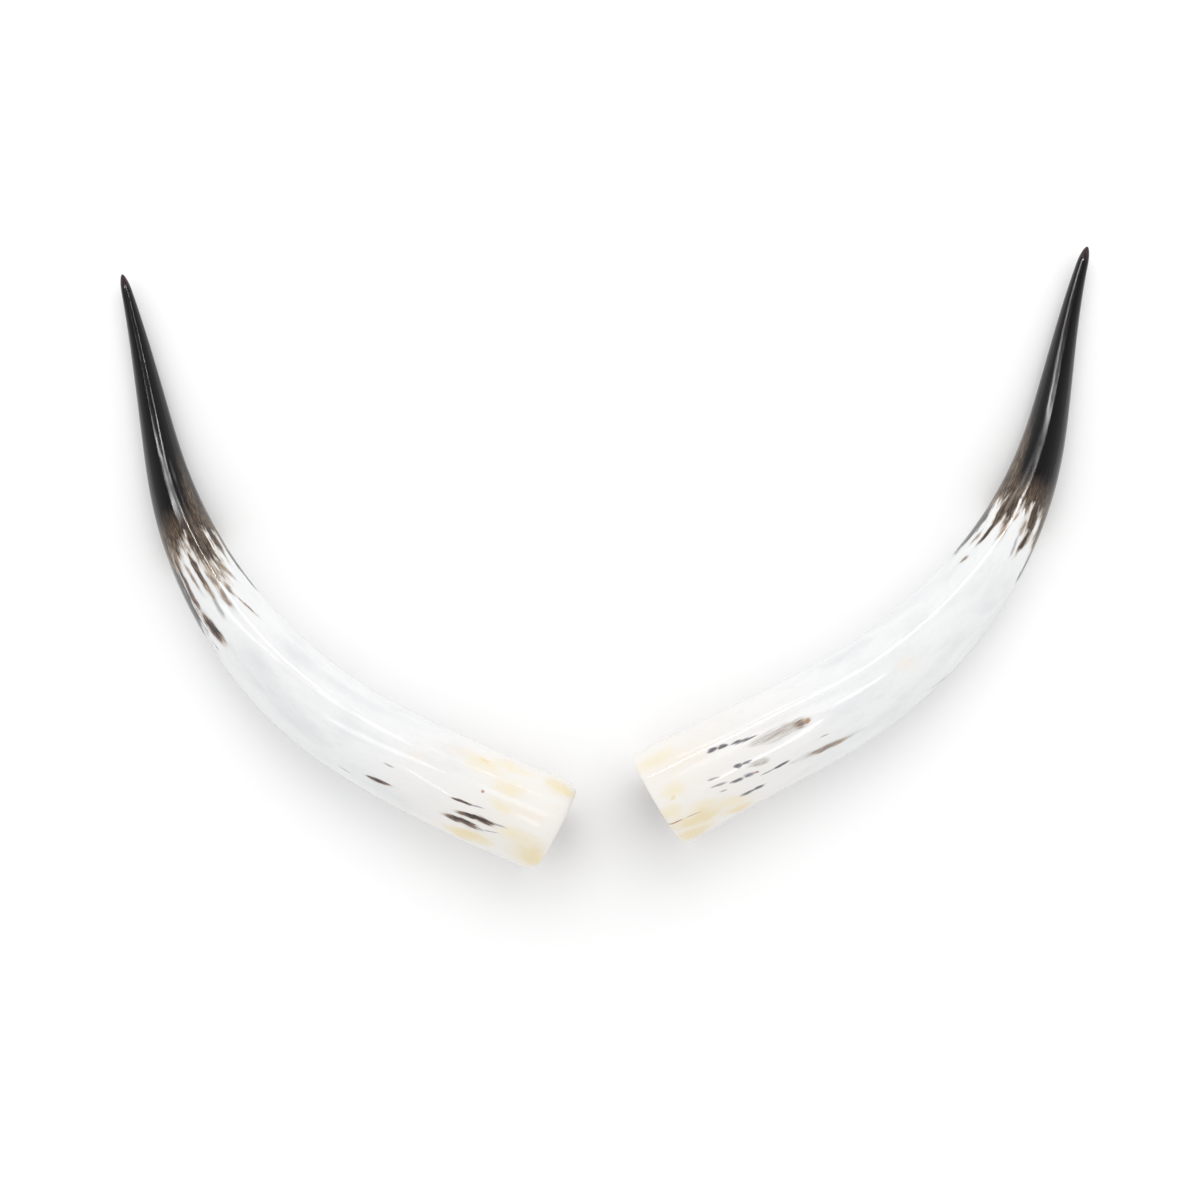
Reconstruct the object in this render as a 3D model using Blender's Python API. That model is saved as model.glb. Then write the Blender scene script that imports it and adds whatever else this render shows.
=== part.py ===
"""Pair of polished cow horns.

Two curved, tapering horns lie on their sides on a table, their cut bases close together and
their tips swept up and apart. Each horn is one piece: a hollow sheath behind the cut, and solid
horn from about the middle to the tip. Metres, +Z up. The origin is the middle of the pair's
footprint, at table level. +X runs from the left horn to the right horn.
"""

import math

import bmesh
import bpy
from mathutils import Matrix, Vector

# The pair as it lies, seen from above. "base" is the middle of the cut end in plan, and "length"
# runs along the axis. The headings (degrees from +X, turning towards +Y) and the widths
# (millimetres) belong to nine even stations from the base to the tip. The saw cut is turned in
# plan and leans outward at the top, by degrees. Its rim is sanded round over "rim_length", down to
# "rim_inset", and "rim_shift" moves that rounding over to the right-hand side, looking inward.
HORNS = {
    "left_horn": {
        "base": (-0.0438, -0.2738),
        "length": 0.753,
        "headings": (158.5, 155.5, 151, 138.5, 127, 115.5, 105.5, 104.5, 107),
        "widths": (90, 89, 85, 79, 67, 53, 36, 22, 8),
        "cut_turn": 6.0,
        "cut_lean": 6.0,
        "rim_length": 0.015,
        "rim_inset": 0.0075,
        "rim_shift": 0.0,
        "colour": (0.80, 0.77, 0.71, 1.0),
    },
    "right_horn": {
        "base": (0.0513, -0.2470),
        "length": 0.748,
        "headings": (29.5, 27, 30, 41.5, 52, 64, 75, 76.5, 72),
        "widths": (97, 92, 89, 81, 69, 54, 38, 23, 9),
        "cut_turn": -0.5,
        "cut_lean": 9.0,
        "rim_length": 0.006,
        "rim_inset": 0.0020,
        "rim_shift": 0.0020,
        "colour": (0.79, 0.77, 0.72, 1.0),
    },
}

# The cross-section is a slightly flattened round.
HEIGHT_OF_WIDTH = 0.95

# The underside lies on the table from the base to the neck, and rises from there to the tip.
NECK_SHARE = 0.72
TIP_RISE = 0.012

# The turn and lean of the cut fade out of the rings over this length.
CUT_BLEND = 0.060

# The point is rounded over this length.
NOSE_LENGTH = 0.018

# The hollow: its wall at the mouth, how far in it runs, and how far its cutter stands out.
WALL = 0.0105
HOLLOW_SHARE = 0.58
CUTTER_OVERRUN = 0.012

# How finely the shapes are divided.
OUTER_SIDES = 24
INNER_SIDES = 20
BODY_STEPS = 30
HOLLOW_STEPS = 16
RIM_SHARES = (0.0, 0.05, 0.17, 0.36, 0.62)
NOSE_SHARES = (0.0, 0.4, 0.7, 0.9, 0.985)
TRACE_STEP = 0.002


def smooth(values, share):
    """The value at a share of the way along a smooth line through evenly spaced values."""
    before = 2 * values[0] - values[1]
    after = 2 * values[-1] - values[-2]
    padded = (before, *values, after)
    place = share * (len(values) - 1)
    first = min(int(place), len(values) - 2)
    t = place - first
    a, b, c, d = padded[first : first + 4]
    bend = 2 * a - 5 * b + 4 * c - d
    twist = 3 * b - a - 3 * c + d
    return (2 * b + (c - a) * t + bend * t**2 + twist * t**3) / 2


def rounding_left(share):
    """What is left of a quarter-round cut, from all of it at the end to none at its length."""
    return 1 - math.sqrt(1 - (1 - share) ** 2)


class Horn:
    """One horn's axis, widths and rings, from its driving dimensions."""

    def __init__(self, size):
        self.size = size
        self.length = size["length"]
        self.plan = self.trace()

    def heading(self, share):
        return math.radians(smooth(self.size["headings"], share))

    def half_width(self, distance):
        """Half the width at a distance from the base, before the rim and point are rounded."""
        share = min(max(distance / self.length, 0.0), 1.0)
        return smooth(self.size["widths"], share) / 2000

    def trace(self):
        """The axis in plan, a point for each small step from the base to the tip."""
        count = round(self.length / TRACE_STEP)
        here = Vector(self.size["base"])
        points = [here.copy()]
        for index in range(count):
            heading = self.heading((index + 0.5) / count)
            here += self.length / count * Vector((math.cos(heading), math.sin(heading)))
            points.append(here.copy())
        return points

    def frame(self, distance):
        """The axis point at a distance from the base, with the ways inward and to the left."""
        share = min(max(distance / self.length, 0.0), 1.0)
        heading = self.heading(share)
        inward = Vector((math.cos(heading), math.sin(heading), 0))
        left = Vector((-inward.y, inward.x, 0))
        place = min(share * (len(self.plan) - 1), len(self.plan) - 1.001)
        before, after = self.plan[int(place) : int(place) + 2]
        plan = before.lerp(after, place % 1)
        past_neck = max(0.0, share - NECK_SHARE) / (1 - NECK_SHARE)
        height = HEIGHT_OF_WIDTH * self.half_width(distance) + TIP_RISE * past_neck**2
        overrun = min(distance, 0.0) * inward
        return Vector((plan.x, plan.y, height)) + overrun, inward, left

    def ring(self, distance, radius, shift=0.0, cut=True):
        """The matrix that puts a unit circle round the axis. Near the base it turns with the cut."""
        point, inward, left = self.frame(distance)
        near_cut = max(0.0, 1 - max(distance, 0.0) / CUT_BLEND) ** 2 * cut
        turn = near_cut * math.tan(math.radians(self.size["cut_turn"]))
        lean = near_cut * math.tan(math.radians(self.size["cut_lean"]))
        across = radius * (left + turn * inward)
        upward = radius * HEIGHT_OF_WIDTH * (Vector((0, 0, 1)) - lean * inward)
        matrix = Matrix((across, upward, inward)).transposed().to_4x4()
        matrix.translation = point + shift * left
        return matrix

    def outside(self):
        """The rings of the outside, with the rounded rim and point."""
        rings = []
        rim_length = self.size["rim_length"]
        for rim_share in RIM_SHARES:
            distance = rim_share * rim_length
            cut_back = rounding_left(rim_share)
            radius = self.half_width(distance) - self.size["rim_inset"] * cut_back
            rings.append(self.ring(distance, radius, self.size["rim_shift"] * cut_back))
        body = self.length - rim_length - NOSE_LENGTH
        for index in range(BODY_STEPS):
            distance = rim_length + body * index / BODY_STEPS
            rings.append(self.ring(distance, self.half_width(distance)))
        for nose_share in NOSE_SHARES:
            distance = self.length - NOSE_LENGTH * (1 - nose_share)
            radius = self.half_width(distance) * math.sqrt(1 - nose_share**2)
            rings.append(self.ring(distance, radius))
        return rings

    def hollow(self):
        """The rings of the hollow, from outside the mouth to its blunt end."""
        depth = HOLLOW_SHARE * self.length
        mouth = self.half_width(0) - WALL
        rings = [self.ring(-CUTTER_OVERRUN, mouth, cut=False)]
        for index in range(HOLLOW_STEPS):
            share = math.sin(math.pi / 2 * (index + 1) / (HOLLOW_STEPS + 1))
            open_width = self.half_width(share * depth) - WALL
            radius = open_width * math.sqrt(1 - share**3)
            rings.append(self.ring(share * depth, radius, cut=False))
        return rings


def loft(name, rings, sides, collection):
    """A closed solid through a row of rings: a circle extruded from each ring to the next."""
    bm = bmesh.new()
    made = bmesh.ops.create_circle(bm, cap_ends=True, segments=sides, radius=1.0)
    bmesh.ops.transform(bm, matrix=rings[0], verts=made["verts"])
    edges = bm.edges[:]
    for before, after in zip(rings, rings[1:]):
        geometry = bmesh.ops.extrude_edge_only(bm, edges=edges)["geom"]
        verts = [item for item in geometry if isinstance(item, bmesh.types.BMVert)]
        edges = [
            item
            for item in geometry
            if isinstance(item, bmesh.types.BMEdge) and all(v in verts for v in item.verts)
        ]
        bmesh.ops.transform(bm, matrix=after @ before.inverted(), verts=verts)
    bmesh.ops.edgeloop_fill(bm, edges=edges)
    bmesh.ops.recalc_face_normals(bm, faces=bm.faces)
    mesh = bpy.data.meshes.new(name)
    bm.to_mesh(mesh)
    bm.free()
    solid = bpy.data.objects.new(name, mesh)
    collection.objects.link(solid)
    return solid


def horn_material(name, colour):
    """Polished horn: pale, smooth and not metallic."""
    material = bpy.data.materials.new(name)
    material.use_nodes = True
    shader = material.node_tree.nodes["Principled BSDF"]
    shader.inputs["Base Color"].default_value = colour
    shader.inputs["Roughness"].default_value = 0.2
    shader.inputs["Metallic"].default_value = 0.0
    return material


def cut_hollow(solid, cutter):
    cutter.hide_render = True
    cutter.display_type = "WIRE"
    cut = solid.modifiers.new("hollow", "BOOLEAN")
    cut.operation = "DIFFERENCE"
    cut.solver = "EXACT"
    cut.object = cutter


def make_horn(name, size, parts, cutters):
    horn = Horn(size)
    solid = loft(name, horn.outside(), OUTER_SIDES, parts)
    solid.data.shade_smooth()
    solid.data.set_sharp_from_angle(angle=math.radians(40))
    solid.data.materials.append(horn_material(name, size["colour"]))
    cut_hollow(solid, loft(name + "_hollow", horn.hollow(), INNER_SIDES, cutters))


def new_collection(name):
    collection = bpy.data.collections.new(name)
    bpy.context.scene.collection.children.link(collection)
    return collection


def main():
    for old in list(bpy.data.objects):
        bpy.data.objects.remove(old)
    parts = new_collection("polished_cow_horns")
    cutters = new_collection("cutters")
    for name, size in HORNS.items():
        make_horn(name, size, parts, cutters)


main()
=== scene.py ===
# %% [markdown]
# # A pair of polished cow horns
#
# A cow's horn is a hollow sheath of keratin, solid towards the point. These two have been sawn off
# square, rubbed smooth and polished. They lie on their sides on a pale table and are seen from
# almost straight above. The lesson builds each horn as one fine skin, then paints that skin with
# maths alone: milky white, stained cream towards the saw cut, streaked with dark fibres, and
# black from about three fifths of the way to the point.

import math

import bmesh
import bpy
from mathutils import Matrix, Vector, noise


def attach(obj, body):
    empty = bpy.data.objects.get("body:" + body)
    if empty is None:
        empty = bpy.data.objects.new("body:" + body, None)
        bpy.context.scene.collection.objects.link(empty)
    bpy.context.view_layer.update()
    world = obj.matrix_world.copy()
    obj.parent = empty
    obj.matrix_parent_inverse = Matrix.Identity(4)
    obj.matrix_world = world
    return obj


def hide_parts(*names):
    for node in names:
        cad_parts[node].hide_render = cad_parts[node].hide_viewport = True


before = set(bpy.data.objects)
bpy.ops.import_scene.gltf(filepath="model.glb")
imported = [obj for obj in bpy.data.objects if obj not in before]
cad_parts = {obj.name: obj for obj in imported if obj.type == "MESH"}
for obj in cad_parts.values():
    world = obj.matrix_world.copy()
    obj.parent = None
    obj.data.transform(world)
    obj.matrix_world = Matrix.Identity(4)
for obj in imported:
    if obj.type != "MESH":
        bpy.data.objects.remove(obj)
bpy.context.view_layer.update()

# %% [markdown]
# ## The driving sizes
#
# Each horn is described the way a horn dealer would measure it: how long it is along the curve,
# which way it points at nine even stations, and how wide it is there. Everything else follows
# from these numbers, so a horn can be made longer, fatter or more curled by changing one of them.

# %% Sizes of the two horns
# Places and lengths are in metres, widths in millimetres, and headings, turns and leans in degrees.
# Headings are turned from +X towards +Y. They and the widths belong to the nine stations.
HORNS = {
    "left_horn": {
        "base": (-0.0438, -0.2738),
        "length": 0.753,
        "headings": (158.5, 155.5, 151, 138.5, 127, 115.5, 105.5, 104.5, 107),
        "widths": (90, 89, 85, 79, 67, 53, 36, 22, 8),
        "cut_turn": 6.0,
        "cut_lean": 6.0,
        "rim_length": 0.015,
        "rim_inset": 0.0075,
        "rim_shift": 0.0,
    },
    "right_horn": {
        "base": (0.0513, -0.2470),
        "length": 0.748,
        "headings": (29.5, 27, 30, 41.5, 52, 64, 75, 76.5, 72),
        "widths": (97, 92, 89, 81, 69, 54, 38, 23, 9),
        "cut_turn": -0.5,
        "cut_lean": 9.0,
        "rim_length": 0.006,
        "rim_inset": 0.0020,
        "rim_shift": 0.0020,
    },
}
# The cross-section is a slightly flattened round.
HEIGHT_OF_WIDTH = 0.95
# The underside lies on the table up to the neck, and rises from there to the point.
NECK_SHARE = 0.72
TIP_RISE = 0.012
# The turn and lean of the cut fade out over the first length, and the point is rounded over the second.
CUT_BLEND = 0.060
NOSE_LENGTH = 0.018
# The hollow's wall at its mouth, and the share of the length that the hollow runs in.
WALL = 0.0105
HOLLOW_SHARE = 0.58
# A width in millimetres divided by this is half that width in metres.
TO_HALF = 2000
for name, size in HORNS.items():
    print(name, round(size["length"] * 1000), "mm long,", size["widths"][0], "mm wide at the cut")

# %% [markdown]
# ## A smooth axis
#
# Nine stations would give nine kinks. A Catmull-Rom line runs through all of them without any,
# and walking along it in small steps draws the horn's axis on the table. Past the neck the axis
# lifts, because the point of a real horn curls up clear of what it lies on.

# %% From the sizes to a place on the axis
TRACE_STEP = 0.002
# A place on the axis is kept this part of a step short of the last point, so that one follows it.
KEPT_SHORT = 0.001


def smooth(values, share):
    """The value at a share of the way along a smooth line through evenly spaced values."""
    before = 2 * values[0] - values[1]
    after = 2 * values[-1] - values[-2]
    padded = (before, *values, after)
    place = share * (len(values) - 1)
    first = min(int(place), len(values) - 2)
    t = place - first
    a, b, c, d = padded[first : first + 4]
    bend = 2 * a - 5 * b + 4 * c - d
    twist = 3 * b - a - 3 * c + d
    return (2 * b + (c - a) * t + bend * t**2 + twist * t**3) / 2


class Horn:
    """One horn's axis, widths and rings, from its driving sizes."""

    def __init__(self, size):
        self.size = size
        self.length = size["length"]
        self.plan = [Vector(size["base"])]
        count = round(self.length / TRACE_STEP)
        for index in range(count):
            heading = math.radians(smooth(size["headings"], (index + 0.5) / count))
            step = self.length / count * Vector((math.cos(heading), math.sin(heading)))
            self.plan.append(self.plan[-1] + step)

    def half_width(self, distance):
        """Half the width at a distance from the cut, before the rim and the point are rounded."""
        share = min(max(distance / self.length, 0.0), 1.0)
        return smooth(self.size["widths"], share) / TO_HALF

    def frame(self, distance):
        """The axis point at a distance from the cut, with the ways inward and to the left."""
        share = min(max(distance / self.length, 0.0), 1.0)
        heading = math.radians(smooth(self.size["headings"], share))
        inward = Vector((math.cos(heading), math.sin(heading), 0))
        left = Vector((-inward.y, inward.x, 0))
        last = len(self.plan) - 1
        place = min(share * last, last - KEPT_SHORT)
        plan = self.plan[int(place)].lerp(self.plan[int(place) + 1], place % 1)
        past_neck = max(0.0, share - NECK_SHARE) / (1 - NECK_SHARE)
        height = HEIGHT_OF_WIDTH * self.half_width(distance) + TIP_RISE * past_neck**2
        return Vector((plan.x, plan.y, height)), inward, left

    def ring(self, distance):
        """The matrix that puts a unit circle round the axis. Near the cut it turns with the saw."""
        point, inward, left = self.frame(distance)
        near_cut = max(0.0, 1 - distance / CUT_BLEND) ** 2
        turn = near_cut * math.tan(math.radians(self.size["cut_turn"]))
        lean = near_cut * math.tan(math.radians(self.size["cut_lean"]))
        across = left + turn * inward
        upward = HEIGHT_OF_WIDTH * (Vector((0, 0, 1)) - lean * inward)
        matrix = Matrix((across, upward, inward)).transposed().to_4x4()
        matrix.translation = point
        return matrix


horns = {name: Horn(size) for name, size in HORNS.items()}
for name, horn in horns.items():
    print(name, "ends at", [round(x, 3) for x in horn.frame(horn.length)[0]])

# %% [markdown]
# ## One skin from the bottom of the hollow to the point
#
# The skin could be a tube with a second tube inside it, but the sawn rim would then be a seam. It
# is one row of rings instead: they climb out of the hollow, cross the flat of the cut, round its
# edge and run to the point. The rounded edge and the rounded nose take their rings close together,
# because that is where the surface turns.

# %% The row of rings
# How finely the skin is divided, round the horn and along it.
SIDES = 160
HOLLOW_RINGS = 70
CUT_RINGS = 4
RIM_RINGS = 9
BODY_RINGS = 420
NOSE_RINGS = 14
# The last ring is at this share of the point's rounding, and one small face closes it.
NOSE_REACH = 0.98


def rounding_left(share):
    """What is left of a quarter-round edge, from all of it at the end to none at its length."""
    return 1 - math.sqrt(1 - (1 - share) ** 2)


def skin_rings(horn):
    """Each ring's distance, radius, sideways shift, and whether it is inside the hollow."""
    size = horn.size
    rings = []
    depth = HOLLOW_SHARE * horn.length
    for index in range(HOLLOW_RINGS, -1, -1):
        share = math.sin(math.pi / 2 * index / (HOLLOW_RINGS + 1))
        radius = (horn.half_width(share * depth) - WALL) * math.sqrt(1 - share**3)
        rings.append((share * depth, radius, 0.0, 1.0))
    mouth = rings[-1][1]
    rim = horn.half_width(0) - size["rim_inset"]
    for index in range(1, CUT_RINGS):
        share = index / CUT_RINGS
        rings.append((0.0, mouth + (rim - mouth) * share, size["rim_shift"] * share, 1 - share))
    for index in range(RIM_RINGS):
        share = 1 - math.cos(math.pi / 2 * index / RIM_RINGS)
        left = rounding_left(share)
        distance = share * size["rim_length"]
        radius = horn.half_width(distance) - size["rim_inset"] * left
        rings.append((distance, radius, size["rim_shift"] * left, 0.0))
    body = horn.length - size["rim_length"] - NOSE_LENGTH
    for index in range(BODY_RINGS):
        distance = size["rim_length"] + body * index / BODY_RINGS
        rings.append((distance, horn.half_width(distance), 0.0, 0.0))
    for index in range(NOSE_RINGS):
        share = NOSE_REACH * math.sin(math.pi / 2 * index / (NOSE_RINGS - 1))
        distance = horn.length - NOSE_LENGTH * (1 - share)
        rings.append((distance, horn.half_width(distance) * math.sqrt(1 - share**2), 0.0, 0.0))
    return rings


for name, horn in horns.items():
    print(name, "is made of", len(skin_rings(horn)), "rings of", SIDES, "points")

# %% [markdown]
# ## A flat map of the skin
#
# A streak is easiest to place on a flat map, as if the horn had been slit underneath and
# unrolled: so many millimetres from the cut, and so many round from the line along the top. So
# the skin starts as that flat sheet, a grid with a column for each ring, and is rolled up after
# the map has been written into its UV layer. The hollow's part of the map is moved five metres
# aside, where no streak is drawn.
#
# Every point also keeps how far along the horn it is, how far to the side of the axis and how far
# above it. Colour laid out on those three numbers follows the curl of the horn, as fibres do.
#
# ## Not quite round
#
# Horn is rubbed down by hand along its fibres, which leaves long, very shallow flats. They are
# under half a millimetre deep, and nobody sees them as shape, but they make a highlight wander
# and break as it runs down the horn. Only the outside is cut back, never built up, so that the
# horn stays the size it was measured at.

# %% Shallow flats along the fibres
FLAT_DEPTH = 0.00035
FLAT_LENGTH = 0.11
FLATS_ROUND = 1.7
RIPPLE_DEPTH = 0.00011
RIPPLE_LENGTH = 0.020
RIPPLES_ROUND = 3.4
RIPPLE_SEED = 40
# The ripples have this share of their depth at the cut, and all of it from this distance on.
RIPPLED_AT_CUT = 0.15
RIPPLED_FULLY = 0.45
# Less is taken off this close to the cut, and where the horn is thinner than this.
RIM_FADE = 0.004
THIN_RADIUS = 0.012


def rubbed_away(distance, radius, side, seed):
    """How much polishing has taken off at a place on the outside."""
    # This noise runs from -1 to 1, so half of it and a half more runs from 0 to 1.
    flats = noise.noise((*(side * FLATS_ROUND), distance / FLAT_LENGTH + seed))
    ripple_place = distance / RIPPLE_LENGTH + seed + RIPPLE_SEED
    ripples = noise.noise((*(side * RIPPLES_ROUND), ripple_place))
    rippled = RIPPLED_AT_CUT + (1 - RIPPLED_AT_CUT) * min(1.0, distance / RIPPLED_FULLY) ** 4
    depth = FLAT_DEPTH * (0.5 + 0.5 * flats) + RIPPLE_DEPTH * (0.5 + 0.5 * ripples) * rippled
    return depth * min(1.0, distance / RIM_FADE) * min(1.0, radius / THIN_RADIUS)


print("polishing takes off up to", round((FLAT_DEPTH + RIPPLE_DEPTH) * 1000, 2), "mm")

# %% Rolling up the sheet
HOLLOW_ASIDE = 5.0
MERGE_DISTANCE = 1e-6
# The noise of the flats starts at another place for each horn.
FIRST_SEED = 7.3
SEED_STEP = 19


def rolled_skin(name, horn, seed):
    """The skin of one horn, with its flat map and its three numbers for the grain."""
    rings = skin_rings(horn)
    places = [horn.ring(distance) for distance, radius, shift, hollow in rings]
    bm = bmesh.new()
    grain = bm.verts.layers.float_vector.new("grain")
    inside = bm.verts.layers.float.new("inside")
    unrolled = bm.loops.layers.uv.new("unrolled")
    bmesh.ops.create_grid(bm, x_segments=len(rings) - 1, y_segments=SIDES, size=1.0)
    last = len(rings) - 1
    for face in bm.faces:
        columns = [round((corner.vert.co.x + 1) / 2 * last) for corner in face.loops]
        hidden = max(rings[column][3] for column in columns)
        for corner, column in zip(face.loops, columns):
            distance, radius, shift, hollow = rings[column]
            around = corner.vert.co.y * math.pi * radius
            corner[unrolled].uv = (distance, around + HOLLOW_ASIDE * (hidden > 0))
    for vert in bm.verts:
        index = round((vert.co.x + 1) / 2 * last)
        distance, radius, shift, hollow = rings[index]
        side = Vector((math.sin(vert.co.y * math.pi), math.cos(vert.co.y * math.pi)))
        across, height = side * radius
        vert[grain] = (distance, across + shift, height * HEIGHT_OF_WIDTH)
        vert[inside] = hollow
        if hollow == 0:
            across, height = side * (radius - rubbed_away(distance, radius, side, seed))
        vert.co = places[index] @ Vector((across, height, 0))
        vert.co += shift * horn.frame(distance)[2]
    bmesh.ops.remove_doubles(bm, verts=bm.verts, dist=MERGE_DISTANCE)
    bmesh.ops.holes_fill(bm, edges=[edge for edge in bm.edges if edge.is_boundary], sides=0)
    bmesh.ops.recalc_face_normals(bm, faces=bm.faces)
    mesh = bpy.data.meshes.new(name)
    bm.to_mesh(mesh)
    bm.free()
    mesh.shade_smooth()
    skin = bpy.data.objects.new(name, mesh)
    bpy.context.scene.collection.objects.link(skin)
    return skin


skins = {}
for index, (name, horn) in enumerate(horns.items()):
    skins[name] = rolled_skin(name + "_skin", horn, FIRST_SEED + SEED_STEP * index)
    print(name, "has", len(skins[name].data.polygons), "faces")

# %% [markdown]
# ## Writing paint as sums
#
# A finish is a web of shader nodes, but it reads far better as arithmetic. The class below wraps
# one node socket and lets +, -, * and / add the Math nodes. A second class holds the material
# and has one method that adds any other kind of node.


# %% The class for sums, and the class for a finish
class Value:
    """A number that changes over the surface."""

    def __init__(self, finish, socket):
        self.finish = finish
        self.socket = socket

    def maths(self, operation, first, second):
        return self.finish.node("Math", {"operation": operation}, {0: first, 1: second})

    def __add__(self, other):
        return self.maths("ADD", self, other)

    def __radd__(self, other):
        return self.maths("ADD", other, self)

    def __sub__(self, other):
        return self.maths("SUBTRACT", self, other)

    def __rsub__(self, other):
        return self.maths("SUBTRACT", other, self)

    def __mul__(self, other):
        return self.maths("MULTIPLY", self, other)

    def __truediv__(self, other):
        return self.maths("DIVIDE", self, other)

    def least(self, other):
        return self.maths("MINIMUM", self, other)

    def most(self, other):
        return self.maths("MAXIMUM", self, other)


class Finish:
    """A material under construction."""

    def __init__(self, name):
        self.material = bpy.data.materials.new(name)
        self.material.use_nodes = True
        self.tree = self.material.node_tree
        self.shader = self.tree.nodes["Principled BSDF"]

    def node(self, kind, settings, inputs, output=0):
        """Adds one node, with its settings first and then its inputs, and gives an output."""
        made = self.tree.nodes.new("ShaderNode" + kind)
        for setting, value in settings.items():
            setattr(made, setting, value)
        for socket, value in inputs.items():
            self.feed(made.inputs[socket], value)
        return Value(self, made.outputs[output])

    def feed(self, socket, value):
        if isinstance(value, Value):
            self.tree.links.new(value.socket, socket)
        else:
            socket.default_value = value

    def maths(self, operation, value):
        return self.node("Math", {"operation": operation}, {0: value})

    def vector(self, operation, first, second):
        return self.node("VectorMath", {"operation": operation}, {0: first, 1: second})

    def step(self, value, low, high):
        """0 below low, 1 above high and a soft slope between. Low may be above high."""
        # Inputs 1 and 2 are where the slope begins and ends, and 3 and 4 are what it gives there.
        settings = {"interpolation_type": "SMOOTHSTEP"}
        if low < high:
            return self.node("MapRange", settings, {"Value": value, 1: low, 2: high})
        inputs = {"Value": value, 1: high, 2: low, 3: 1.0, 4: 0.0}
        return self.node("MapRange", settings, inputs)

    def clouds(self, place, scale, detail, roughness, output="Fac"):
        """Noise from 0 to 1, at a scale in waves to the metre."""
        inputs = {"Vector": place, "Scale": scale, "Detail": detail, "Roughness": roughness}
        return self.node("TexNoise", {}, inputs, output)

    def blend(self, amount, under, over):
        """A colour that goes from one to the other by an amount from 0 to 1."""
        # A Mix node's colours are its inputs 6 and 7, and its mixed colour is output 2.
        return self.node("Mix", {"data_type": "RGBA"}, {0: amount, 6: under, 7: over}, 2)

    def paint(self, under, over, edge, begins, full, strength=1.0):
        """One colour over another, from nothing where the edge is at begins to all there is at full."""
        return self.blend(self.step(edge, begins, full) * strength, under, over)

    def marks(self, place, rows):
        """How far each point is from the nearest mark: 0 in its middle and 1 at its edge."""
        nearest = None
        for start, start_round, end, end_round, width in rows:
            rise = end_round - start_round
            run = end - start
            shape = {
                "Vector": place,
                "Location": ((start + end) / TO_HALF, (start_round + end_round) / TO_HALF, 0),
                "Rotation": (0, 0, math.atan2(rise, run)),
                "Scale": (math.hypot(rise, run) / TO_HALF, width / TO_HALF, 1),
            }
            local = self.node("Mapping", {"vector_type": "TEXTURE"}, shape)
            away = self.node("VectorMath", {"operation": "LENGTH"}, {0: local}, "Value")
            nearest = away if nearest is None else nearest.least(away)
        return nearest


print("ready to mix finishes")

# %% [markdown]
# ## Where the marks are
#
# No two horns are streaked alike, so the marks are a list and not a pattern. Each is written as
# where it starts, where it ends and how wide it is, all in millimetres on the unrolled map:
# along from the cut, round from the top line (left is positive), then the width.
#
# They are sorted by how they are painted. The lobes, the slits between them and the clear patches
# shape where the black begins. The edges are painted shade: dark bands down the horn's two
# outlines, where its sides turn away from the light. The dark, slate, brown, thin, striped and rust
# marks are fibres, and the veil is one that lies deeper. The tan, cream, pink and grey marks are
# stains.

# %% The marks on the left horn
LEFT = {
    "lobes": (
        (520, 6, 446, 14.5, 18),
        (505, -4, 416, -14.5, 21),
        (495, -22, 431, -29, 9.5),
        (500, 30, 446, 27, 15),
        (500, -34, 438, -42, 12),
    ),
    "slits": ((460, -19, 440, -21, 1.2),),
    "veil": ((398, 4.7, 372, 6, 4),),
    "dark": (
        (462, 18, 428, 21.6, 5.4),
        (438, 21.2, 394, 23.4, 5.2),
        (393, 23.6, 355, 22.4, 8.6),
        (447, 4.6, 408, 3, 4.2),
        (176, 33.5, 154, 31.5, 4),
        (88, 24.3, 62, 20.2, 4.4),
        (74, 21, 53, 21.9, 5),
        (97, 32.4, 74, 31, 5),
        (86, 30.2, 65, 32.2, 6.2),
        (97, 13.7, 82, 12.4, 2.3),
    ),
    "slate": ((84, 12.6, 78, 12, 2),),
    # Painted shade: dark bands down both outlines, where the sides turn away.
    "edges": (
        (490, 31, 368, 43, 24),
        (452, -37, 384, -49, 9),
    ),
    "brown": (
        (418, 3.8, 393, 4, 3.8),
        (426, -4, 395, -5.2, 5),
        (405, -5.3, 378, -5.6, 5.6),
        (426, -16.5, 402, -25.4, 4.8),
        (405, -12.4, 387, -14.1, 3.8),
        (389, -14.6, 356, -20.6, 2.2),
        (440, 13, 405, 11, 3),
        (436, -8, 402, -10.5, 5),
    ),
    "thin": (
        (60, 20.9, 40, 19.4, 2),
        (69, 31.2, 59, 31.5, 1.8),
        (64, 31.2, 44, 26.6, 1.2),
        (83, 12.6, 64, 10, 1.5),
        (206, 42.5, 191, 42, 1.3),
        (168, 12, 155, 12, 1.5),
    ),
    "rust": ((75, -4, 72, -2.8, 2.6),),
    "striped": ((400, 30, 390, 28, 3),),
    "clear": (
        (530, -20, 440, -24, 12),
        (516, -34, 446, -40, 9),
        (478, 12, 450, 14, 9),
    ),
    "tan": (
        (94, 51.5, 48, 42, 16),
        (28, 38, -6, 40, 34),
        (26, -44, 0, -38, 18),
        (88, -33, 79, -33, 5),
    ),
    "cream": (
        (66, -18, 41, -15.7, 13),
        (60, 1, 39, 1, 10),
        (74, -41.4, 46, -41.5, 14),
        (46, 22, 18, 24, 14),
        (98, -30, 66, -28, 16),
    ),
    "pink": (
        (38, 1, 13, -0.5, 10),
        (152, -8, 134, -10, 9),
        (125, -31, 88, -39, 10),
        (13, -14.5, 5, -14.5, 4),
    ),
    "grey": (
        (398, 4.7, 370, 6, 4.4),
        (330, -22, 262, -27, 14),
        (262, -28, 170, -34, 12),
        (200, 40, 110, 44, 18),
        (300, 22, 230, 26, 22),
        (350, 2, 300, 6, 16),
    ),
}

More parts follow.
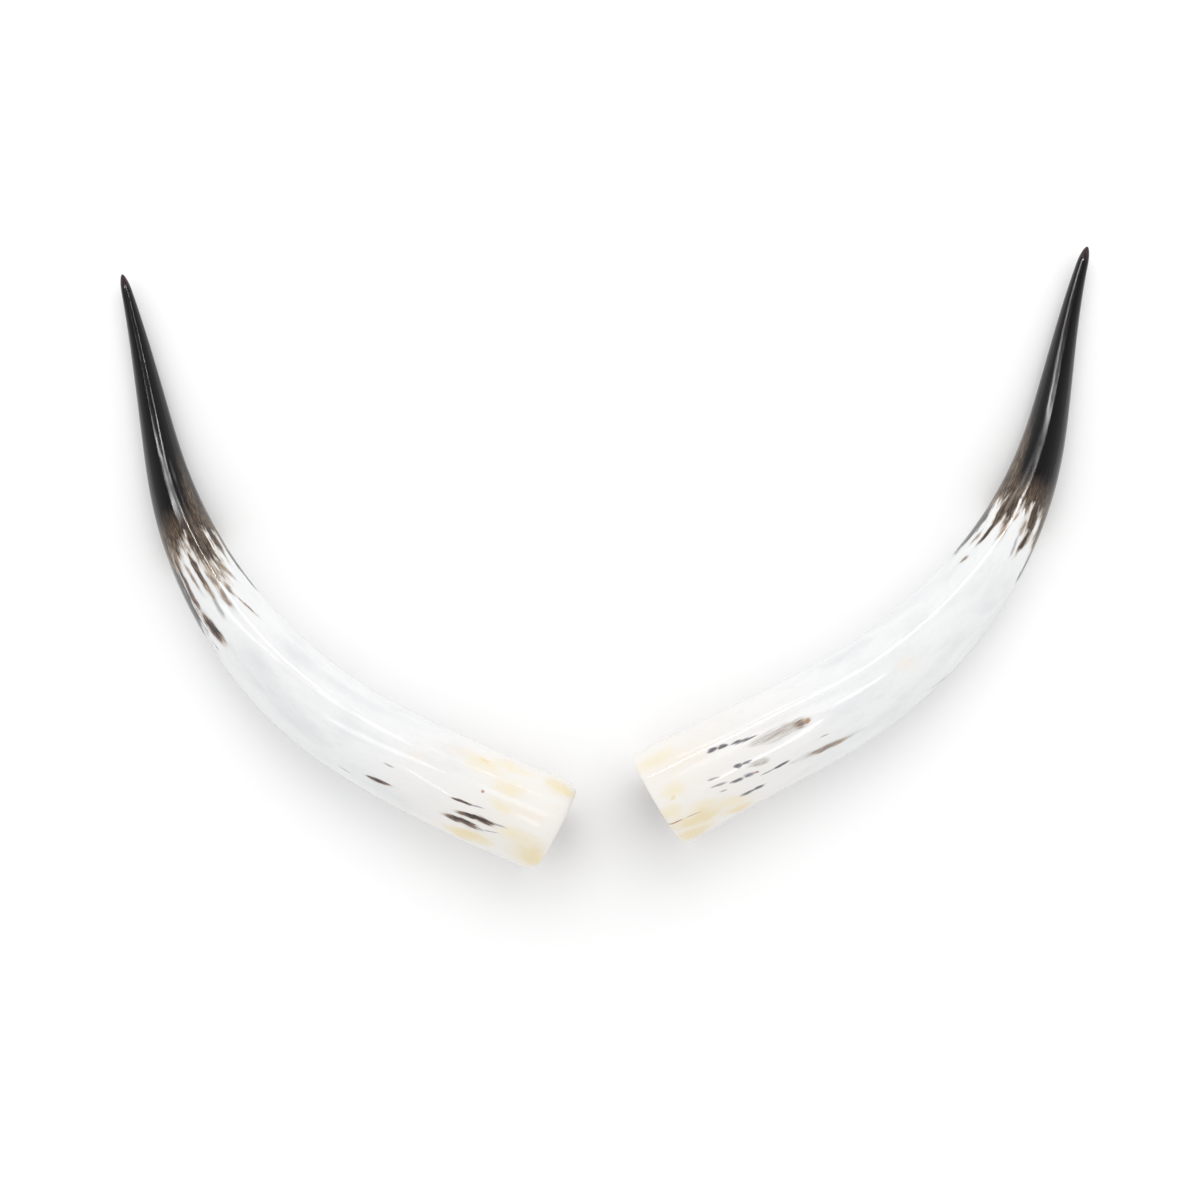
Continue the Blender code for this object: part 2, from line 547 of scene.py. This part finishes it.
# %% The marks on the right horn
RIGHT = {
    "lobes": (
        (480, 13, 434, 9.4, 12),
        (470, 17, 422, 18.2, 8),
        (434, 17.9, 399, 22, 4),
        (480, -9, 431, -17.8, 10),
        (444, -16.6, 412, -15.9, 4.4),
        (490, -28, 430, -33, 14),
        (480, 36, 446, 40, 8),
    ),
    "slits": (
        (456, 28.5, 425, 27, 4),
        (456, -1.5, 436, -5.2, 4),
    ),
    "veil": ((430, -8, 406, -12, 3),),
    "dark": ((272, -50, 292, -58, 1.6),),
    "slate": (
        (57, 16, 68, 15, 4.6),
        (67, 14.8, 77, 13.5, 3.8),
        (73, -7.5, 81, -9.3, 4.8),
        (80, -9, 90, -10.5, 3),
        (80, 12, 103, 9, 3.8),
        (76, -20.5, 90, -22.3, 4),
        (64, -20.2, 79, -21.3, 3.2),
        (79, -38.5, 93, -39, 3.8),
        (66, -38, 82, -39, 3.4),
        (106, -27, 122, -26.5, 2.8),
    ),
    # Painted shade: dark bands down both outlines, where the sides turn away.
    "edges": (
        (486, -33, 392, -44, 15),
        (484, 34, 386, 45, 17),
    ),
    "brown": (
        (418, 26.6, 400, 29.6, 3),
        (387, 23.2, 374, 26.2, 3),
        (440, 7.5, 412, 7, 5.4),
        (448, -7, 430, -8.4, 4.6),
        (139, 0.8, 152, -0.7, 8),
        (134, -31, 184, -35.5, 4.4),
    ),
    "thin": (
        (46, -7.8, 58, -10, 2),
        (46, -14.5, 62, -17.5, 2),
        (50, -23, 57, -24.5, 1.8),
        (90, -27, 106, -27, 1.6),
        (154, -20.5, 167, -21.7, 1.4),
        (15, -29.7, 27, -31.6, 0.8),
    ),
    "rust": (
        (452, 2, 439, 2.8, 2.6),
        (150, -0.6, 156, -1.2, 5),
        (0, -27, 13, -29.3, 1.9),
        (89, -22, 93, -22.6, 2),
    ),
    "striped": (
        (93, 3.8, 153, -0.7, 12),
        (84, -12.4, 106, -17.5, 6.4),
    ),
    "clear": (
        (575, 30, 448, 24, 17),
        (560, 44, 448, 38, 16),
        (478, -4, 438, -8, 9),
    ),
    "tan": (
        (8, -32, 44, -44, 14),
        (0, -52, 36, -61, 24),
        (44, -52, 76, -58, 10),
        (12, -4, 18, -5, 4),
    ),
    "cream": (
        (10, 4, 28, 0, 12),
        (0, -12, 14, -22, 13),
        (20, -24, 44, -32, 10),
        (40, -34, 72, -46, 12),
        (0, 34, 30, 36, 16),
    ),
    "pink": (
        (38, 17, 54, 12, 6),
        (254, -2, 270, -6, 11),
        (6, 22, 60, 24, 18),
    ),
    "grey": (
        (345, -16, 363, -32, 12),
        (268, 58, 282, 38, 12),
        (240, 60, 385, 22, 18),
        (310, -44, 385, -46, 20),
        (190, 40, 250, 40, 14),
    ),
}
for name, marks in {"left_horn": LEFT, "right_horn": RIGHT}.items():
    print(name, "has", sum(len(rows) for rows in marks.values()), "marks placed by hand")

# %% [markdown]
# ## The finish
#
# Under the polish there are layers, and they are painted in the order that they lie in: the milky
# horn with its faint grey clouding, the warm staining near the cut, the brown and grey streaks, the
# dark ones, and last the black, which comes down in lobes with clear brown horn at their edges.
# A streak's edge frays along the grain and hardly across it, so every edge is disturbed by the
# same noise, drawn out about twelve times lengthwise. A stain isn't a fibre: most stains are pushed
# about by an even noise first, and frayed less.

# %% Colours of polished horn
MILK = (0.785, 0.788, 0.788, 1)
GREY_MILK = (0.665, 0.673, 0.685, 1)
CREAM = (0.80, 0.765, 0.715, 1)
TAN = (0.765, 0.66, 0.43, 1)
PALE_TAN = (0.80, 0.715, 0.53, 1)
PINK = (0.80, 0.72, 0.62, 1)
BLUE_GREY = (0.52, 0.55, 0.58, 1)
VEIL = (0.21, 0.215, 0.205, 1)
CLEAR_BROWN = (0.052, 0.037, 0.031, 1)
CLEAR_AMBER = (0.24, 0.18, 0.12, 1)
FRINGE = (0.46, 0.36, 0.26, 1)
FIBRE_BROWN = (0.20, 0.145, 0.12, 1)
FIBRE_GREY = (0.30, 0.30, 0.32, 1)
SLATE = (0.27, 0.28, 0.32, 1)
SLATE_DARK = (0.055, 0.05, 0.06, 1)
STRIPED = (0.33, 0.275, 0.24, 1)
# Painted shade: the colour of the dark bands down the horn's two outlines.
PAINTED_SIDE_SHADE = (0.040, 0.036, 0.034, 1)
FIBRE_BLACK = (0.045, 0.036, 0.038, 1)
RUST = (0.36, 0.17, 0.07, 1)
TIP_BLACK = (0.010, 0.009, 0.010, 1)
TIP_END = (0.055, 0.033, 0.036, 1)
INSIDE = (0.50, 0.40, 0.27, 1)
INSIDE_DARK = (0.30, 0.22, 0.14, 1)

# %% The maps and noises that follow the grain
# Noise that runs slower lengthwise is drawn out along the fibres.
DRAWN_OUT = (0.08, 1, 1)
HALF_DRAWN = (0.35, 1, 1)
# How far a fibre's outline wanders and a stain's drifts on the flat map: along, then round, in metres.
WANDER = (0.008, 0.0035, 0)
DRIFT = (0.030, 0.022, 0)
# Noise runs from 0 to 1, and this is its middle.
MIDDLE = 0.5


class HornFinish(Finish):
    """A finish with the maps and noises that every layer of a horn is laid out on."""

    def __init__(self, name, noise_offset):
        super().__init__(name)
        grain = self.node("Attribute", {"attribute_name": "grain"}, {}, "Vector")
        grain = self.vector("ADD", grain, noise_offset)
        self.inside = self.node("Attribute", {"attribute_name": "inside"}, {}, "Fac")
        place = self.node("UVMap", {"uv_map": "unrolled"}, {})
        self.along = self.node("SeparateXYZ", {}, {0: place}, "X")
        self.around = self.node("SeparateXYZ", {}, {0: place}, "Y")
        self.drawn_out = self.vector("MULTIPLY", grain, DRAWN_OUT)
        self.half_drawn = self.vector("MULTIPLY", grain, HALF_DRAWN)

        self.fray = self.clouds(self.drawn_out, scale=420, detail=3, roughness=0.6) - MIDDLE
        self.thread = self.clouds(self.drawn_out, scale=1100, detail=2, roughness=0.5) - MIDDLE
        self.patchy = self.clouds(self.half_drawn, scale=150, detail=3, roughness=0.55) - MIDDLE
        push = self.clouds(self.half_drawn, scale=140, detail=2, roughness=0.5, output="Color")
        self.wandered = self.pushed(place, push, WANDER)
        push = self.clouds(grain, scale=38, detail=4, roughness=0.6, output="Color")
        self.stained = self.pushed(place, push, DRIFT)

    def pushed(self, place, push, reach):
        """The place moved by noise, up to half the reach either way."""
        push = self.vector("SUBTRACT", push, (MIDDLE, MIDDLE, MIDDLE))
        return self.vector("ADD", place, self.vector("MULTIPLY", push, reach))


print("fibres' noise is drawn out", 1 / DRAWN_OUT[0], "times")

# %% [markdown]
# ## Milky horn under everything
#
# Horn without pigment is white, but not evenly so. Broad clouding shows where its layers are
# thicker and fine clouding shows its grain, and towards the cut it turns creamy and takes stains.

# %% Milky horn and its stains
# The cream near the cut begins and is full at these distances, and noise moves them by up to the last.
CREAM_BEGINS = 0.24
CREAM_FULL = 0.07
CREAM_WANDER = 0.10


def milky_horn(finish):
    """The pale horn, with broad and fine grey clouding, and warmer near the cut."""
    clouding = finish.clouds(finish.half_drawn, scale=45, detail=5, roughness=0.62)
    colour = finish.paint(MILK, GREY_MILK, clouding, begins=0.42, full=0.75, strength=0.65)
    fine = finish.clouds(finish.half_drawn, scale=330, detail=4, roughness=0.65)
    colour = finish.paint(colour, GREY_MILK, fine, begins=0.48, full=0.75, strength=0.30)
    warm = finish.clouds(finish.half_drawn, scale=26, detail=4, roughness=0.55)
    reach = finish.along + warm * CREAM_WANDER
    return finish.paint(colour, CREAM, reach, CREAM_BEGINS, CREAM_FULL, strength=0.75)


def stained_horn(finish, marks, colour):
    """Stains soak in with soft edges. The grey ones follow the fibres."""
    fray, patchy = finish.fray, finish.patchy
    soft = finish.marks(finish.stained, marks["pink"]) + patchy * 0.6
    colour = finish.paint(colour, PINK, soft, begins=1.9, full=0.2, strength=0.45)
    soft = finish.marks(finish.stained, marks["cream"]) + patchy * 0.8 + fray * 0.9
    colour = finish.paint(colour, PALE_TAN, soft, begins=1.8, full=0.2, strength=0.75)
    soft = finish.marks(finish.stained, marks["tan"]) + patchy * 0.8 + fray * 0.9
    colour = finish.paint(colour, TAN, soft, begins=1.6, full=0.2, strength=0.95)
    soft = finish.marks(finish.wandered, marks["grey"]) + patchy * 1.2 + fray * 1.2
    return finish.paint(colour, BLUE_GREY, soft, begins=1.6, full=0.2, strength=0.22)


print("the cream near the cut fades from", CREAM_FULL, "to", CREAM_BEGINS, "m")

# %% [markdown]
# ## Fibres as edges
#
# A mark is a number that is 0 in its middle and 1 at its outline. Noise added to that number frays
# the outline, and a soft step turns it into paint. Paint that begins above 1 spills over the
# outline, and that is how a dark fibre gets its brown fringe.

# %% Fibres of other colours
# Fine bands lie across a striped mark. They bow and slant with the way round the horn.
BAND_RATE = 2300
BAND_BOW = 40
BAND_SLANT = 0.35


def striped_horn(finish, marks, colour):
    """Marks with faint bands across them."""
    fray, thread, patchy = finish.fray, finish.thread, finish.patchy
    bands = finish.along + finish.around * finish.around * BAND_BOW + finish.around * BAND_SLANT
    bands = finish.maths("SINE", bands * BAND_RATE + patchy * 30.0)
    bands = finish.step(bands + fray * 3.0, -1.0, 1.0)
    edge = finish.marks(finish.wandered, marks["striped"]) + fray * 0.9 + thread * 0.5
    striped = finish.step(edge, 1.25, 0.6) * (0.36 + bands * 0.18 + fray * 1.6 + patchy)
    return finish.blend(striped, colour, STRIPED)


def streaked_horn(finish, marks, colour):
    """Fibres, from the deep ones that only tint the horn to the black ones over them all, and painted
    shade down both sides.
    """
    fray, thread, patchy = finish.fray, finish.thread, finish.patchy
    dark_edge = finish.marks(finish.wandered, marks["dark"])
    brown_edge = finish.marks(finish.wandered, marks["brown"])
    halo = dark_edge.least(brown_edge) + fray * 1.2 + patchy
    colour = finish.paint(colour, BLUE_GREY, halo, begins=1.9, full=0.9, strength=0.35)
    edge = finish.marks(finish.wandered, marks["veil"]) + fray * 1.5 + patchy * 0.8
    colour = finish.paint(colour, VEIL, edge, begins=1.3, full=0.5, strength=0.6)
    colour = striped_horn(finish, marks, colour)

    edge = brown_edge + fray * 1.5 + thread * 1.1
    tone = finish.paint(FRINGE, FIBRE_BROWN, edge + thread * 1.5, begins=1.0, full=0.2)
    colour = finish.paint(colour, tone, edge, begins=1.3, full=0.65, strength=0.85)
    edge = finish.marks(finish.wandered, marks["thin"]) + fray * 0.8 + thread * 0.8
    colour = finish.paint(colour, FIBRE_GREY, edge, begins=1.25, full=0.45, strength=0.85)
    edge = finish.marks(finish.wandered, marks["rust"]) + thread * 0.8
    colour = finish.paint(colour, RUST, edge, begins=1.3, full=0.5, strength=0.8)
    edge = finish.marks(finish.wandered, marks["slate"]) + fray * 1.5 + thread * 0.9
    tone = finish.paint(SLATE, SLATE_DARK, edge + thread * 2.5 + fray, begins=1.1, full=0.4)
    colour = finish.paint(colour, tone, edge, begins=1.3, full=0.6, strength=0.85)
    # The edges rows are painted shade: dark bands down both outlines, where the sides turn away.
    edge = finish.marks(finish.wandered, marks["edges"]) + fray * 1.5 + patchy * 0.8
    colour = finish.paint(colour, PAINTED_SIDE_SHADE, edge, begins=1.20, full=0.80, strength=0.9)

    edge = dark_edge + fray * 1.2 + thread * 0.9
    colour = finish.paint(colour, FRINGE, edge, begins=1.40, full=1.0, strength=0.6)
    ragged = edge + thread * 3.0 + fray * 2.0
    tone = finish.paint(FIBRE_BROWN, FIBRE_BLACK, ragged, begins=0.95, full=0.20)
    return finish.paint(colour, tone, edge, begins=1.15, full=0.85, strength=0.95)


print("striped marks have a band every", round(2 * math.pi / BAND_RATE * 1000, 1), "mm")

# %% [markdown]
# ## Black horn and the polish
#
# One number says how deep in the black a place is. It grows along the horn, the lobes carry it
# further down and the slits take it away. The first of it shows as a fringe, then as clear brown
# horn, and only then as black. The polish is nearly even over every colour, and only the hollow is
# left raw.

# %% The black, and the polish over it all
# The black deepens over this length from where it starts, and each lobe is this deep in its middle.
BLACK_SLOPE = 0.030
LOBE_DEPTH = 0.9
# The very end of the point is brown from the first distance off it, and fully from the second.
TIP_END_BEGINS = 0.022
TIP_END_FULL = 0.004
# How much the polish mirrors, how rough it is, and what rubbing, black horn and the hollow add.
MIRRORING = 0.4
POLISHED = 0.05
RUBBED_ADDS = 0.05
BLACK_ADDS = 0.03
HOLLOW_ADDS = 0.45


def black_tip(finish, marks, colour, length, black_start):
    """Black horn that comes down in lobes, with clear horn at their edges. Gives how black, too."""
    fray, thread, patchy = finish.fray, finish.thread, finish.patchy
    lobes = (1 - finish.marks(finish.wandered, marks["lobes"])) * LOBE_DEPTH
    depth = ((finish.along - black_start) / BLACK_SLOPE).most(lobes)
    depth = depth + fray * 1.2 + thread * 0.5 + patchy * 0.8
    slits = finish.marks(finish.wandered, marks["slits"]) + fray + thread * 0.8
    depth = depth - finish.step(slits, 1.3, 0.7)

    streaky = thread * 1.2 + fray * 0.9 + patchy * 0.5
    clear = finish.paint(CLEAR_BROWN, CLEAR_AMBER, streaky, begins=-0.15, full=0.40, strength=0.9)
    colour = finish.paint(colour, FRINGE, depth, begins=-0.35, full=0.05, strength=0.5)
    colour = finish.paint(colour, clear, depth, begins=-0.12, full=0.26)
    clear_patch = finish.marks(finish.wandered, marks["clear"]) + patchy * 1.2 + fray
    black = finish.step(depth, 0.45, 1.5) * (1 - finish.step(clear_patch, 1.6, 0.6) * 0.85)
    colour = finish.blend(black, colour, TIP_BLACK)
    begins, full = length - TIP_END_BEGINS, length - TIP_END_FULL
    return finish.paint(colour, TIP_END, finish.along, begins, full, strength=0.85), black


def polished_horn(name, horn, marks, black_start, noise_offset):
    """The whole finish of one horn."""
    finish = HornFinish(name, noise_offset)
    colour = milky_horn(finish)
    colour = stained_horn(finish, marks, colour)
    colour = streaked_horn(finish, marks, colour)
    colour, black = black_tip(finish, marks, colour, horn.length, black_start)

    hollow = finish.step(finish.inside, 0.9, 1.0)
    fibrous = finish.clouds(finish.drawn_out, scale=500, detail=4, roughness=0.6)
    colour = finish.blend(hollow, colour, finish.blend(fibrous, INSIDE, INSIDE_DARK))
    finish.feed(finish.shader.inputs["Base Color"], colour)
    finish.feed(finish.shader.inputs["Specular IOR Level"], MIRRORING)

    rubbed = finish.clouds(finish.drawn_out, scale=700, detail=3, roughness=0.6)
    roughness = POLISHED + rubbed * RUBBED_ADDS + black * BLACK_ADDS + hollow * HOLLOW_ADDS
    finish.feed(finish.shader.inputs["Roughness"], roughness)
    relief = rubbed * (0.10 + hollow * 1.5)
    bump = {"Strength": 0.3, "Distance": 0.0002, "Height": relief}
    finish.feed(finish.shader.inputs["Normal"], finish.node("Bump", {}, bump, "Normal"))
    return finish.material


# The black starts this far from the cut, and each horn takes its noise from another place.
RECIPES = {
    "left_horn": {
        "name": "left_polished_horn",
        "marks": LEFT,
        "black_start": 0.458,
        "noise_offset": (0.0, 0.0, 0.0),
    },
    "right_horn": {
        "name": "right_polished_horn",
        "marks": RIGHT,
        "black_start": 0.457,
        "noise_offset": (3.1, 0.2, 0.3),
    },
}
finishes = {}
for name, recipe in RECIPES.items():
    finishes[name] = polished_horn(horn=horns[name], **recipe)
    print(name, "finish has", len(finishes[name].node_tree.nodes), "nodes")

# %% [markdown]
# ## Dressing the model
#
# Each skin takes its finish, stands in for the plain solid and rides on the model's one body.

# %% Dress both horns
for name, skin in skins.items():
    skin.data.materials.append(finishes[name])
    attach(skin, "root")
    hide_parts(name)
    print(skin.name, "stands for", name)

# %% [markdown]
# ## Table, light and camera
#
# The horns lie on a pale table under a very even light, bright enough that the table is almost
# white. One large key light from beyond the points adds soft shadows. Even light gives no
# highlights, so strips of light two metres above the table, which show only in the polish, draw
# the thin bright lines down each horn.

# %% The table
TABLE_HALF = 8.0
# The table is a hair below the horns, so that the two never share a surface.
TABLE_DROP = 0.0003
TABLE_WHITE = (0.90, 0.90, 0.90, 1)
TABLE_ROUGHNESS = 0.9

bm = bmesh.new()
bmesh.ops.create_grid(bm, x_segments=2, y_segments=2, size=TABLE_HALF)
table_mesh = bpy.data.meshes.new("table")
bm.to_mesh(table_mesh)
bm.free()
table = bpy.data.objects.new("table", table_mesh)
bpy.context.scene.collection.objects.link(table)
table.location = (0, 0, -TABLE_DROP)
table_finish = Finish("pale_table")
table_finish.shader.inputs["Base Color"].default_value = TABLE_WHITE
table_finish.shader.inputs["Roughness"].default_value = TABLE_ROUGHNESS
table_finish.shader.inputs["Specular IOR Level"].default_value = 0.0
table_mesh.materials.append(table_finish.material)
print("table is", 2 * TABLE_HALF, "m wide")

# %% The even light
scene = bpy.context.scene
scene.view_settings.view_transform = "Standard"
EVEN_LIGHT = 1.02
MIRRORED_ZENITH = 0.10
MIRRORED_HORIZON = 0.75
# How high the mirrored light goes on fading: 0 is the horizon and 1 is straight up.
FADE_TOP = 0.8

sky = bpy.data.worlds.new("even_light")
sky.use_nodes = True
nodes = sky.node_tree.nodes
links = sky.node_tree.links
nodes["Background"].inputs["Color"].default_value = (1, 1, 1, 1)
way = nodes.new("ShaderNodeTexCoord")
up = nodes.new("ShaderNodeSeparateXYZ")
links.new(way.outputs["Generated"], up.inputs[0])
fade = nodes.new("ShaderNodeMapRange")
fade.inputs[1].default_value = 0.0
fade.inputs[2].default_value = FADE_TOP
fade.inputs[3].default_value = MIRRORED_HORIZON
fade.inputs[4].default_value = MIRRORED_ZENITH
links.new(up.outputs["Z"], fade.inputs["Value"])
# What is lit sees the even light, and what is mirrored sees the fading one.
ray = nodes.new("ShaderNodeLightPath")
choose = nodes.new("ShaderNodeMix")
choose.inputs[2].default_value = EVEN_LIGHT
links.new(ray.outputs["Is Glossy Ray"], choose.inputs[0])
links.new(fade.outputs[0], choose.inputs[3])
links.new(choose.outputs[0], nodes["Background"].inputs["Strength"])
scene.world = sky
print("even light:", EVEN_LIGHT, "and in the polish", MIRRORED_ZENITH, "to", MIRRORED_HORIZON)

# %% The key light and the strips
# A radiance is how bright a light looks. A rectangle's power is that times pi times its area.
KEY_LENGTH = 2.6
KEY_WIDTH = 1.6
KEY_RADIANCE = 1.55
KEY_PLACE = (0.15, 1.7, 2.2)
STRIP_HEIGHT = 2.0

key = bpy.data.lights.new("key", "AREA")
key.shape = "RECTANGLE"
key.size, key.size_y = KEY_LENGTH, KEY_WIDTH
key.energy = KEY_RADIANCE * math.pi * key.size * key.size_y
key_lamp = bpy.data.objects.new("key", key)
scene.collection.objects.link(key_lamp)
key_lamp.location = KEY_PLACE
key_lamp.rotation_euler = (-key_lamp.location).to_track_quat("-Z", "Y").to_euler()
key_lamp.visible_glossy = False


def strip_light(name, start, end, width, radiance, receivers):
    """A strip from one place to another that shows only in one horn's polish."""
    light = bpy.data.lights.new(name, "AREA")
    light.shape = "RECTANGLE"
    run = Vector(end) - Vector(start)
    light.size, light.size_y = run.length, width
    light.energy = radiance * math.pi * run.length * width
    lamp = bpy.data.objects.new(name, light)
    scene.collection.objects.link(lamp)
    lamp.location = (*((Vector(start) + Vector(end)) / 2), STRIP_HEIGHT)
    lamp.rotation_euler = (0, 0, math.atan2(run.y, run.x))
    lamp.visible_diffuse = False
    lamp.visible_camera = False
    lamp.light_linking.receiver_collection = receivers


lit = {}
for name, skin in skins.items():
    lit[name] = bpy.data.collections.new(name + "_lit")
    lit[name].objects.link(skin)

# Each strip's start and end, seen from above, its width, and its radiance.
STRIPS = {
    "left_horn": (
        ((0.28, 2.15), (0.95, 2.70), 0.045, 7),
        ((0.00, 1.38), (-0.22, 1.15), 0.035, 7),
        ((-0.22, 1.15), (-0.70, 0.97), 0.030, 7),
        ((-0.70, 0.97), (-1.30, 0.62), 0.035, 8),
        ((0.02, 1.55), (-0.45, 1.66), 0.06, 42),
        ((-0.45, 1.66), (-0.85, 1.45), 0.05, 14),
        ((-0.85, 1.45), (-1.45, 1.20), 0.06, 34),
        ((-0.95, -0.20), (-0.31, 0.35), 0.12, 3.5),
        ((-0.83, -0.52), (-0.92, -1.20), 0.05, 5),
        ((0.10, 0.60), (0.03, 0.20), 0.30, 1.6),
        ((-0.24, -0.30), (-0.34, -0.66), 0.05, 3.5),
    ),
    "right_horn": (
        ((-0.66, 2.75), (-1.35, 3.75), 0.08, 5),
        ((-0.70, 2.70), (-0.05, 2.02), 0.045, 6),
        ((-1.35, 2.35), (-0.55, 1.97), 0.05, 20),
        ((-0.55, 1.97), (0.10, 1.76), 0.06, 42),
        ((0.10, 1.76), (0.75, 1.47), 0.035, 48),
        ((0.66, 0.20), (0.92, 0.23), 0.14, 6),
        ((-0.04, 0.90), (0.86, 0.07), 0.30, 1.6),
        ((0.88, -0.80), (0.78, -0.34), 0.10, 7),
    ),
}
for name, strips in STRIPS.items():
    for index, (begin, stop, width, radiance) in enumerate(strips):
        strip_light(f"{name}_strip_{index}", begin, stop, width, radiance, lit[name])
    print(name, "has", len(strips), "strips over it")

# %% The camera
# The place is in metres, the tilt and turn in degrees, and the lens and sensor in millimetres.
CAMERA_PLACE = (-0.0033, -0.3457, 1.690)
CAMERA_TILT = 9.94
CAMERA_TURN = 0.2
LENS = 52.5
SENSOR_WIDTH = 36

camera = bpy.data.objects.new("camera", bpy.data.cameras.new("camera"))
scene.collection.objects.link(camera)
camera.location = CAMERA_PLACE
camera.rotation_euler = (math.radians(CAMERA_TILT), 0, math.radians(CAMERA_TURN))
camera.data.lens = LENS
camera.data.sensor_width = SENSOR_WIDTH
scene.camera = camera
print("camera is", round(camera.location.z, 2), "m above the table")
